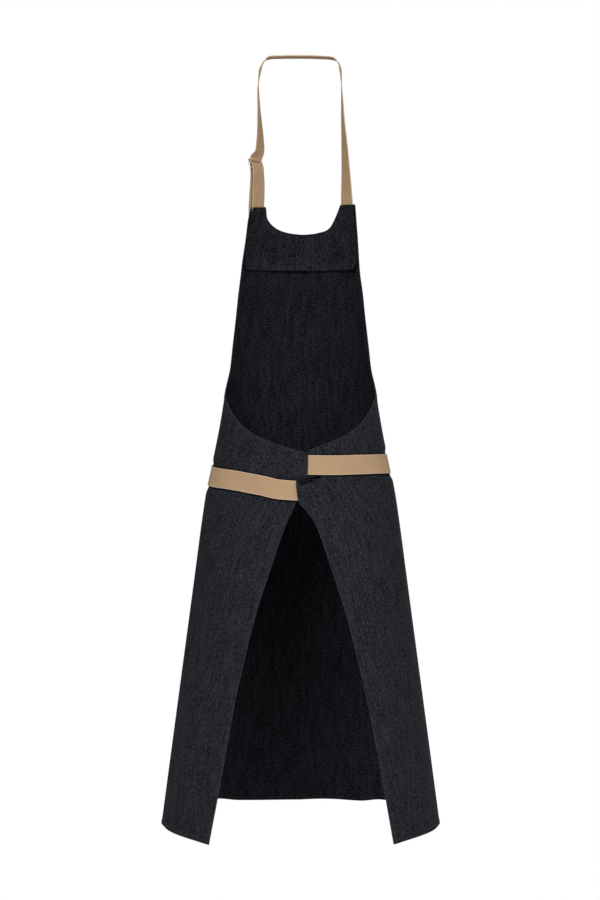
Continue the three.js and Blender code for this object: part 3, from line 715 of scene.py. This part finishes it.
facing_rows = bands_to_rows(FACING_BANDS)
facing_inset = FACING_INSET["ears"] + FACING_INSET["below"] * ramp(facing_rows, FACING_INSET["between"])
facing_edges = [facing_inset + step for step in FACING_EDGE_COLUMNS]
facing_angles, facing_level = cloth_grid(
    facing_rows, FACING_COLUMNS, facing_edges, FACING_SPARE, FACING_FADES
)
facing_drops = row_drop(facing_angles, facing_level)
facing_caught = 1 - ramp(side_distance(facing_angles, facing_level), FACING_CAUGHT)
facing_away = facing_depth(facing_angles, facing_level) - ear_room(facing_level) * facing_caught
facing_points = on_form(facing_angles, facing_drops, facing_away)
facing_arc = arc_lengths(facing_points)
facing_uv = np.stack([facing_arc + FACING_CUT_ASIDE, -facing_drops], axis=-1)
facing_edge = np.minimum(edge_distance(facing_angles, facing_level), FACING_BOTTOM - facing_level)
bib_facing = grid_object("bib_facing_cloth", facing_points, facing_uv, {"edge": facing_edge * MM})
facing_share = FACING_PLAIN_SHARE + (1 - FACING_PLAIN_SHARE) * ramp(facing_level, FACING_HEM_STEP)
thicken(bib_facing, FACING_HEM_WALL, rounded_off(facing_share, facing_edge))
# The facing's colour is set darker than the outer face's, as painted shade inside the bib.
denim_facing_painted_shade = denim(
    "denim_facing_painted_shade",
    dark=(0.0034, 0.0038, 0.0052, 1),
    light=(0.0312, 0.033, 0.0395, 1),
    scales={"streaks": (640, 170), "specks": (760, 420), "slubs": (190, 18), "clouds": DENIM_CLOUDS},
    # The facing's turned edges are painted darker, as the shade of the folded hem.
    hem_wear_and_shade=-0.5,
)
bib_facing.data.materials.append(denim_facing_painted_shade)
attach(bib_facing, "root")
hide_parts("bib_facing")

# Neck strap and adjuster strap: flat tan cotton webbing with a firm selvage, 20 mm wide.
# The neck strap is sewn into the right ear and turns round the slider's top bar; the adjuster is
# sewn into the left ear, goes over the slider's middle bar and hangs down in front as a tail.
STRAP_WIDTH = 20
STRAP_STEPS = 8
EAR_INSERT = 17
EAR_MOUTH = 1
NECK_BEND = 16
NECK_RUN = {
    "x": [
        60.4, 58.6, 55.8, 54, 52, 49, 43.5, 24, 0, -24, -43, -48.5, -52.6, -55.6, -55, -53.8, -53.8, -54.6,
    ],
    "y": [46, 34, 20, 8, 2, 0, 0, 0, 0, 0, 0, 0, 2, 8, 18, 29, 33.5, 38.3],
    "drop": [148, 116, 76, 41, 16, 6, 1.8, -0.2, -0.7, -0.5, 1, 6, 16, 36, 66, 94, 106, 117.5],
    "turn": [55, 65, 80, 89, 97, 114, 114, 90, 90, 90, 66, 66, 83, 91, 98, 112, 120, 129],
}
SLIDER_AT = {"x": -59, "y": 43, "drop": 133.6, "turn": 137, "lean": 17}
SLIDE_BAR = 1.8
SLIDE_LENGTH = 25
SLIDE_ASIDE = 0.8
SLIDE_CLEAR = 0.3
UPPER_SLOT = 4.6
LOWER_SLOT = 3.2
SLIDE_HEIGHT = 3 * SLIDE_BAR + UPPER_SLOT + LOWER_SLOT
TOP_BAR = (SLIDE_HEIGHT - SLIDE_BAR) / 2
MIDDLE_BAR = TOP_BAR - SLIDE_BAR - UPPER_SLOT
BOTTOM_BAR = -TOP_BAR
TURN_RADIUS = SLIDE_BAR / 2 * math.sqrt(2) + SLIDE_CLEAR + STRAP_THICKNESS / 2
TURN_STEPS = 6
NECK_LOOP = {"aside": 1.2, "above": 0.6, "end": 1.6}
ADJUSTER_LOOP = {"aside": 0.4, "below": 2.4, "tail": 0.8}
ADJUSTER_MIDDLE = {"x": -55.8, "y": 47.5, "drop": 163, "turn": 143}
ADJUSTER_TAIL = {"below_ear": [0, 22, 46], "round": [-3, 0, 2]}
HALF_BAND = {
    "across": [0, 0.3, 0.6, 0.84, 0.9, 0.95, 0.985, 1],
    "thickness": [0.84, 0.84, 0.84, 0.86, 1, 0.98, 0.72, 0.3],
}
ROLL_FROM = {"neck_strap": 0, "adjuster_strap": 2000, "tie_left": 4000, "tie_right": 6000, "tie_knot": 8000}
WEBBING_YARNS = {
    "streaks": {"scale": (900, 30), "tone": 0.5},
    "lint": {"scale": (1500, 1100), "tone": 0.55},
    "clouds": {"scale": (40, 22), "tone": 0.3},
}
WEBBING_DETAIL = 2.0
WEBBING_DARK = (0.305, 0.196, 0.108, 1)
WEBBING_LIGHT = (0.523, 0.358, 0.217, 1)
WEBBING_BUMP = {"Strength": 0.4, "Distance": 0.0004}
WEBBING_RELIEF = {"chevrons": 0.35, "lint": 0.4, "streaks": 0.3, "loops": 0.2}
WEBBING_ROUGH = {"plain": 0.95, "streaks": 0.1}
CHEVRONS = {"along": 4200, "slant": 2600, "tone": 0.06}
SELVAGE = {"between": (0.0005, 0.0013), "pale": 0.42, "loops": 4400, "loop_pale": 0.14}
SELVAGE_COLOUR = (0.74, 0.6, 0.44, 1)

band_across = np.concatenate([-np.flip(HALF_BAND["across"][1:]), HALF_BAND["across"]])
band_shares = np.concatenate([np.flip(HALF_BAND["thickness"][1:]), HALF_BAND["thickness"]])
slider_turn = math.radians(SLIDER_AT["turn"])
slider_across = Vector((math.cos(slider_turn), -math.sin(slider_turn), 0))
slider_lean = Matrix.Rotation(math.radians(SLIDER_AT["lean"]), 3, slider_across)
slider_face = slider_lean @ Vector((math.sin(slider_turn), math.cos(slider_turn), 0))
slider_up = slider_lean @ Vector((0, 0, 1))
slider_middle = Vector((SLIDER_AT["x"], SLIDER_AT["y"], -SLIDER_AT["drop"]))


def on_slider(aside, height, normal):
    """A strap's station on the slider, out from the middle of a bar by the turn's radius."""
    centre = slider_middle + slider_across * aside + slider_up * height + normal * TURN_RADIUS
    return np.array(centre), np.array(normal)


def level_face(turn):
    """A strap's face where it hangs freely, turned about the upright from facing the front."""
    return np.array([math.sin(math.radians(turn)), math.cos(math.radians(turn)), 0])


def half_turn(aside, bar, way):
    """A strap's half turn round a bar, from its near side to its far side, below (-1) or above (1)."""
    swings = [math.pi * step / TURN_STEPS for step in range(TURN_STEPS + 1)]
    normals = [slider_face * math.cos(swing) + slider_up * way * math.sin(swing) for swing in swings]
    return [on_slider(aside, bar, normal) for normal in normals]


def in_ear(angle, top):
    """The stretch of strap that is sewn inside an ear."""
    stations = []
    for drop in (top + EAR_INSERT, top - EAR_MOUTH):
        centre = on_form(angle, drop, EAR_LAYER + STRAP_THICKNESS / 2)
        stations.append((centre, -form_normal(angle, drop)))
    return stations


def smoothed(stations, steps):
    """More stations on a smooth curve through the given ones, spaced by the root of their chords."""
    points = np.array([centre for centre, _ in stations])
    normals = np.array([normal for _, normal in stations])
    padded = np.concatenate([[2 * points[0] - points[1]], points, [2 * points[-1] - points[-2]]])
    knots = np.concatenate([[0], np.cumsum(np.sqrt(np.linalg.norm(np.diff(padded, axis=0), axis=1)))])
    result = []
    for i in range(len(points) - 1):
        t0, t1, t2, t3 = knots[i : i + 4]
        p0, p1, p2, p3 = padded[i : i + 4]
        last = i == len(points) - 2
        for step in range(steps + last):
            t = t1 + (t2 - t1) * step / steps
            a1 = p0 + (p1 - p0) * (t - t0) / (t1 - t0)
            a2 = p1 + (p2 - p1) * (t - t1) / (t2 - t1)
            a3 = p2 + (p3 - p2) * (t - t2) / (t3 - t2)
            b1 = a1 + (a2 - a1) * (t - t0) / (t2 - t0)
            b2 = a2 + (a3 - a2) * (t - t1) / (t3 - t1)
            centre = b1 + (b2 - b1) * (t - t1) / (t2 - t1)
            normal = normals[i] + (normals[i + 1] - normals[i]) * step / steps
            result.append((centre, normal))
    return result


def running_length(points):
    """Distance of each point along a line of points, from its first."""
    return np.concatenate([[0], np.cumsum(np.linalg.norm(np.diff(points, axis=0), axis=1))])


def webbing_band(node, stations, width, thickness):
    """A flat woven band along stations of centre and face normal, thicker at its selvages.

    It stands for the node, and each band is cut from another stretch of the roll."""
    centres = np.array([centre for centre, _ in stations])
    normals = unit(np.array([normal for _, normal in stations]))
    along = unit(np.gradient(centres, axis=0))
    wide = unit(np.cross(along, normals))
    run = ROLL_FROM[node] + running_length(centres)
    across = band_across * width / 2
    points = centres[:, None, :] + across[None, :, None] * wide[:, None, :]
    shape = points.shape[:2]
    uv = np.stack([np.broadcast_to(across, shape), np.broadcast_to(run[:, None], shape)], axis=-1)
    edge = np.broadcast_to(width / 2 - np.abs(across), shape)
    band = grid_object(node + "_webbing", points, uv, {"edge": edge * MM})
    thicken(band, thickness, np.broadcast_to(band_shares, shape))
    band.data.materials.append(webbing)
    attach(band, "root")
    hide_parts(node)


def tan_webbing():
    """Tan cotton webbing: fine chevron ribs, lengthwise yarn streaks and a paler selvage."""
    material, shader, start = start_finish("tan_webbing", Specular_IOR_Level=0.1)
    cloth = start.node("ShaderNodeUVMap", {"uv_map": "cloth"})
    along = start.node("ShaderNodeSeparateXYZ", None, {0: cloth}, output="Y")
    edge = point_value(start, "edge")
    selvage = 1 - edge.between(*SELVAGE["between"])
    chevrons = start.maths("SINE", along * CHEVRONS["along"] + edge * CHEVRONS["slant"], 0)
    loops = start.maths("SINE", along * SELVAGE["loops"], 0)
    seen = {"chevrons": chevrons, "loops": selvage * loops}
    tone = 0.5 + chevrons * CHEVRONS["tone"]
    for yarn, look in WEBBING_YARNS.items():
        seen[yarn] = yarns(start, cloth, look["scale"], WEBBING_DETAIL)
        tone = tone + (seen[yarn] - 0.5) * look["tone"]
    woven = tone.mixed(WEBBING_DARK, WEBBING_LIGHT)
    colour = (selvage * (SELVAGE["pale"] + loops * SELVAGE["loop_pale"])).mixed(woven, SELVAGE_COLOUR)
    ribs, lint, streaks, knobs = (seen[yarn] * rise for yarn, rise in WEBBING_RELIEF.items())
    bump = start.node("ShaderNodeBump", None, {"Height": ribs + lint + streaks + knobs, **WEBBING_BUMP})
    rough = WEBBING_ROUGH["plain"] - seen["streaks"] * WEBBING_ROUGH["streaks"]
    finish_with(shader, Base_Color=colour, Roughness=rough, Normal=bump)
    return material


webbing = tan_webbing()

neck_stations = in_ear(EAR_ANGLE_RIGHT, EAR_TOP_RIGHT)
for x, y, drop, turn in zip(*NECK_RUN.values()):
    bend = float(ramp(drop, (0, NECK_BEND)))
    side = 1 if x > 0 else -1
    normal = unit(-side * bend * level_face(turn) + np.array([0, 0, bend - 1]))
    neck_stations.append((np.array([x, y, -drop]), normal))
neck_stations.append(on_slider(NECK_LOOP["aside"], TOP_BAR + NECK_LOOP["above"], slider_face))
neck_stations += half_turn(NECK_LOOP["aside"], TOP_BAR, -1)
neck_stations.append(on_slider(NECK_LOOP["aside"], TOP_BAR + NECK_LOOP["end"], -slider_face))
webbing_band("neck_strap", smoothed(neck_stations, STRAP_STEPS), STRAP_WIDTH, STRAP_THICKNESS)

adjuster_stations = in_ear(EAR_ANGLE_LEFT, EAR_TOP_LEFT)
adjuster_place = np.array([ADJUSTER_MIDDLE["x"], ADJUSTER_MIDDLE["y"], -ADJUSTER_MIDDLE["drop"]])
adjuster_stations.append((adjuster_place, level_face(ADJUSTER_MIDDLE["turn"])))
below_slide = BOTTOM_BAR - ADJUSTER_LOOP["below"]
adjuster_stations.append(on_slider(ADJUSTER_LOOP["aside"], below_slide, slider_face))
adjuster_stations += half_turn(ADJUSTER_LOOP["aside"], MIDDLE_BAR, 1)
adjuster_stations.append(on_slider(ADJUSTER_LOOP["tail"], below_slide, -slider_face))
for below, round_by in zip(*ADJUSTER_TAIL.values()):
    tail_angle = EAR_ANGLE_LEFT + round_by
    tail_drop = EAR_TOP_LEFT + below
    tail_centre = on_form(tail_angle, tail_drop, DENIM + TIE_CLEAR + STRAP_THICKNESS / 2)
    adjuster_stations.append((tail_centre, form_normal(tail_angle, tail_drop)))
webbing_band("adjuster_strap", smoothed(adjuster_stations, STRAP_STEPS), STRAP_WIDTH, STRAP_THICKNESS)

# Strap slider: a nickel-plated slide bent from round wire, a long loop with a bar across it.
# The neck strap holds its top bar, and the adjuster runs over its middle bar.
SLIDE_CORNER = 2.2
CORNER_STEPS = 6
WIRE_RADIUS = 1.1
WIRE_ROUNDNESS = 4
NICKEL_DARK = (0.55, 0.54, 0.52, 1)
NICKEL_LIGHT = (0.82, 0.81, 0.79, 1)
NICKEL_ROUGH = {"plain": 0.2, "scratched": 0.25}
SCRATCH_SCALE = 900.0


def slide_wire(points, closed):
    """Adds one run of the slide's wire to its curve."""
    spline = slide_curve.splines.new("POLY")
    spline.points.add(len(points) - 1)
    for point, (across, up) in zip(spline.points, points):
        place = (slider_middle + slider_across * (across + SLIDE_ASIDE) + slider_up * up) * MM
        point.co = (*place, 1)
    spline.use_cyclic_u = closed


slide_curve = bpy.data.curves.new("slide_wire", "CURVE")
slide_curve.dimensions = "3D"
slide_curve.bevel_depth = WIRE_RADIUS * MM
slide_curve.bevel_resolution = WIRE_ROUNDNESS
slide_curve.use_fill_caps = True
half_long = (SLIDE_LENGTH - SLIDE_BAR) / 2
slide_loop = []
for corner in range(4):
    corner_across = (half_long - SLIDE_CORNER) * (1 if corner in (0, 3) else -1)
    corner_up = (TOP_BAR - SLIDE_CORNER) * (1 if corner in (0, 1) else -1)
    for step in range(CORNER_STEPS + 1):
        swing = math.radians(90 * (corner + step / CORNER_STEPS))
        across = corner_across + SLIDE_CORNER * math.cos(swing)
        slide_loop.append((across, corner_up + SLIDE_CORNER * math.sin(swing)))
slide_wire(slide_loop, True)
slide_wire([(-half_long, MIDDLE_BAR), (half_long, MIDDLE_BAR)], False)
slide_wires = bpy.data.objects.new("slide_wires", slide_curve)
scene.collection.objects.link(slide_wires)
bpy.context.view_layer.update()
slide_evaluated = slide_wires.evaluated_get(bpy.context.evaluated_depsgraph_get())
slide_data = bpy.data.meshes.new_from_object(slide_evaluated)
bpy.data.objects.remove(slide_wires)
strap_slider = bpy.data.objects.new("strap_slider_metal", slide_data)
scene.collection.objects.link(strap_slider)
for face in slide_data.polygons:
    face.use_smooth = True
nickel, nickel_shader, nickel_start = start_finish("nickel_plate", Metallic=1.0)
nickel_place = nickel_start.node("ShaderNodeTexCoord", output="Object")
scratches = nickel_start.node("ShaderNodeTexNoise", None, {"Vector": nickel_place, "Scale": SCRATCH_SCALE})
finish_with(
    nickel_shader,
    Base_Color=scratches.mixed(NICKEL_DARK, NICKEL_LIGHT),
    Roughness=NICKEL_ROUGH["plain"] + scratches * NICKEL_ROUGH["scratched"],
)
slide_data.materials.clear()
slide_data.materials.append(nickel)
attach(strap_slider, "root")
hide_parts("strap_slider")

# Waist ties: inch-wide tan webbing, one from under each wrap's tip. They run round the waist to the
# front, cross through the knot there and hang down as two tails.
TIE_PITCH = TIE_THICKNESS + GAP
TIE_STEPS = 220
TAIL = {"bend": 15.5, "length": 175, "spread": 4, "steps": 30, "settles": (0.1, 0.6)}


def layer_middle(layer):
    """How far out the middle of a tie lies in a layer, from the cloth's inner face."""
    return TIE_LAYER + TIE_THICKNESS / 2 + layer * TIE_PITCH


def tie_stations(run, sign):
    """Stations of a tie from the back round to the knot, then down its tail."""
    drop_at = curve_through(run, "angle", "drop")
    layer_at = curve_through(run, "angle", "layer")
    ends = (run["angle"][-1], run["angle"][0]) if sign < 0 else (run["angle"][0], run["angle"][-1])
    angles = np.linspace(*ends, TIE_STEPS + 1)
    drops = drop_at(angles)
    knot = drops[-1]
    layer = float(layer_at(ends[1]))
    centres = list(on_form(angles, drops, layer_middle(layer_at(angles))))
    normals = list(form_normal(angles, drops))
    start = form["half_width"](knot) * math.sin(math.radians(abs(ends[1])))
    swings = np.linspace(0, math.pi / 2, TAIL["steps"] + 1)[1:]
    down = np.linspace(0, 1, TAIL["steps"] + 1)[1:]
    bend = TAIL["bend"]
    x = start + np.concatenate([bend * np.sin(swings), bend + TAIL["spread"] * down])
    drop = knot + np.concatenate([bend * (1 - np.cos(swings)), bend + TAIL["length"] * down])
    settled = np.concatenate([np.ones(len(swings)), 1 - ramp(down, TAIL["settles"])])
    away = layer_middle(layer * settled)
    angle = np.degrees(np.arcsin(sign * x / (form["half_width"](drop) + away)))
    centres += list(on_form(angle, drop, away))
    normals += list(form_normal(angle, drop))
    return list(zip(centres, normals))


webbing_band("tie_left", tie_stations(TIE_RUN_LEFT, 1), TIE_WIDTH, TIE_THICKNESS)
webbing_band("tie_right", tie_stations(TIE_RUN_RIGHT, -1), TIE_WIDTH, TIE_THICKNESS)

# Knot: a short loop of the same webbing that holds both ties together at the front of the waist.
# It is drawn flat and tight round them, and its ends butt behind them, against the cloth.
KNOT = {"width": 17, "near": 0.2, "far": 4.1, "butt": 0.3, "steps": 96}
knot_radius = (KNOT["far"] - KNOT["near"]) * TIE_PITCH / 2
knot_half = TIE_WIDTH / 2 + GAP
knot_centre = on_form(0, TIE_RUN_RIGHT["drop"][0], layer_middle(KNOT["near"]) + knot_radius)
knot_round = 4 * knot_half + 2 * math.pi * knot_radius
knot_stations = []
for run in np.linspace(KNOT["butt"], knot_round - KNOT["butt"], KNOT["steps"] + 1):
    length = (run + knot_half) % knot_round
    half_way = knot_round / 2
    side = -1 if length < half_way else 1
    length = length % half_way
    swing = max(0, length - 2 * knot_half) / knot_radius
    up = -side * (min(length, 2 * knot_half) - knot_half + knot_radius * math.sin(swing))
    out = side * knot_radius * math.cos(swing)
    normal = np.array([0, side * math.cos(swing), -side * math.sin(swing)])
    knot_stations.append((knot_centre + np.array([0, out, up]), normal))
webbing_band("tie_knot", knot_stations, KNOT["width"], TIE_THICKNESS)

# Stitching: rows of dark cotton thread along the hems, the neckline, the ears and the facing's edge.
# Each stitch is a small bead that lies along its row, on the outer or the inner face of the cloth.
STITCH = {"pitch": 3.1, "long": 2.3, "wide": 0.6, "proud": 0.45}
SEAM_INSET = 4.6
NECKLINE_SEAM = 5.4
EAR_SEAM = 6
FACING_SEAMS = (3.6, 8.4)
SEAM_END = 3
SEAM_POINTS = {"side": 900, "hem": 500, "neckline": 400, "ear": 40, "facing": 200}
THREAD_DARK = (0.018, 0.019, 0.022, 1)
THREAD_LIGHT = (0.06, 0.062, 0.068, 1)
THREAD_ROUGH = {"plain": 0.9, "strands": 0.2}
STRANDS = {"Scale": 700.0, "Detail": 2.0}
STRANDS_BETWEEN = (0.3, 0.7)

stitch_mesh = bmesh.new()


def angle_at(x, level):
    """The angle of a place on the bib, from its distance across."""
    return np.degrees(np.arcsin((x - form["centre_x"](level)) / form["half_width"](level)))


def sew(angles, levels, away, face):
    """A row of stitches along grid points of the cloth, on its outer (1) or inner (-1) face."""
    drops = row_drop(angles, levels)
    places = on_form(angles, drops, away)
    run = running_length(places)
    at = np.arange(STITCH["pitch"] / 2, run[-1], STITCH["pitch"])
    centres = np.stack([np.interp(at, run, places[:, axis]) for axis in range(3)], axis=-1)
    outward = form_normal(np.interp(at, run, angles), np.interp(at, run, drops)) * face
    along = unit(np.gradient(centres, axis=0))
    across = np.cross(outward, along)
    for centre, length, width, rise in zip(centres, along, across, outward):
        lie = Matrix.Identity(4)
        lie.col[0].xyz = length * STITCH["long"] / 2 * MM
        lie.col[1].xyz = width * STITCH["wide"] / 2 * MM
        lie.col[2].xyz = rise * STITCH["proud"] / 2 * MM
        lie.translation = centre * MM
        bmesh.ops.create_icosphere(stitch_mesh, subdivisions=1, radius=1, matrix=lie)


hem_face = {1: DENIM + HEM_EXTRA / 2, -1: -HEM_EXTRA / 2}
side_levels = np.linspace(EAR_TOP + SEAM_END, HEM_ROW - SEAM_END, SEAM_POINTS["side"])
hem_levels = np.full(SEAM_POINTS["hem"], HEM_ROW - SEAM_INSET)
for face, rise in hem_face.items():
    for side in (-1, 1):
        side_angles = hem_angle(side, side_levels, SEAM_INSET)
        side_drops = row_drop(side_angles, side_levels)
        sew(side_angles, side_levels, cloth_lift(side_angles, side_drops) + rise, face)
    hem_ends = [hem_angle(side, hem_levels[0], SEAM_END) for side in (-1, 1)]
    sew(np.linspace(*hem_ends, len(hem_levels)), hem_levels, rise, face)
scoop_x = np.linspace(NECKLINE["x"][2], NECKLINE["x"][-2], SEAM_POINTS["neckline"])
scoop_line = np.stack([scoop_x, scoop(scoop_x)], axis=-1)
scoop_way = unit(np.gradient(scoop_line, axis=0))
seam_x = scoop_line[:, 0] - scoop_way[:, 1] * NECKLINE_SEAM
seam_level = scoop_line[:, 1] + scoop_way[:, 0] * NECKLINE_SEAM
seam_angles = angle_at(seam_x, seam_level)
sew(seam_angles, seam_level, hem_face[1], 1)
sew(seam_angles, seam_level, facing_depth(seam_angles, seam_level) - DENIM / 2, -1)
ear_levels = np.full(SEAM_POINTS["ear"], EAR_TOP + EAR_SEAM)
for side, scoop_end in ((-1, NECKLINE["x"][1]), (1, NECKLINE["x"][-2])):
    outer_end = hem_angle(side, ear_levels[0], SEAM_END)
    inner_end = angle_at(scoop_end + side * SEAM_END, ear_levels[0])
    ear_angles = np.linspace(outer_end, inner_end, len(ear_levels))
    sew(ear_angles, ear_levels, hem_face[1], 1)
    sew(ear_angles, ear_levels, facing_depth(ear_angles, ear_levels) - DENIM / 2, -1)
for above in FACING_SEAMS:
    facing_levels = np.full(SEAM_POINTS["facing"], FACING_BOTTOM - above)
    facing_ends = [hem_angle(side, facing_levels[0], FACING_INSET["ears"] + SEAM_END) for side in (-1, 1)]
    hem_angles = np.linspace(*facing_ends, len(facing_levels))
    sew(hem_angles, facing_levels, facing_depth(hem_angles, facing_levels) - FACING_HEM_WALL / 2, -1)
for face in stitch_mesh.faces:
    face.smooth = True
stitch_data = bpy.data.meshes.new("stitching")
stitch_mesh.to_mesh(stitch_data)
stitch_mesh.free()
stitching = bpy.data.objects.new("stitching", stitch_data)
scene.collection.objects.link(stitching)
thread, thread_shader, thread_start = start_finish("dark_thread", Specular_IOR_Level=0.2)
thread_place = thread_start.node("ShaderNodeTexCoord", output="Object")
strands = thread_start.node("ShaderNodeTexNoise", None, {"Vector": thread_place, **STRANDS})
finish_with(
    thread_shader,
    Base_Color=strands.between(*STRANDS_BETWEEN).mixed(THREAD_DARK, THREAD_LIGHT),
    Roughness=THREAD_ROUGH["plain"] - strands * THREAD_ROUGH["strands"],
)
stitch_data.materials.append(thread)
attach(stitching, "root")
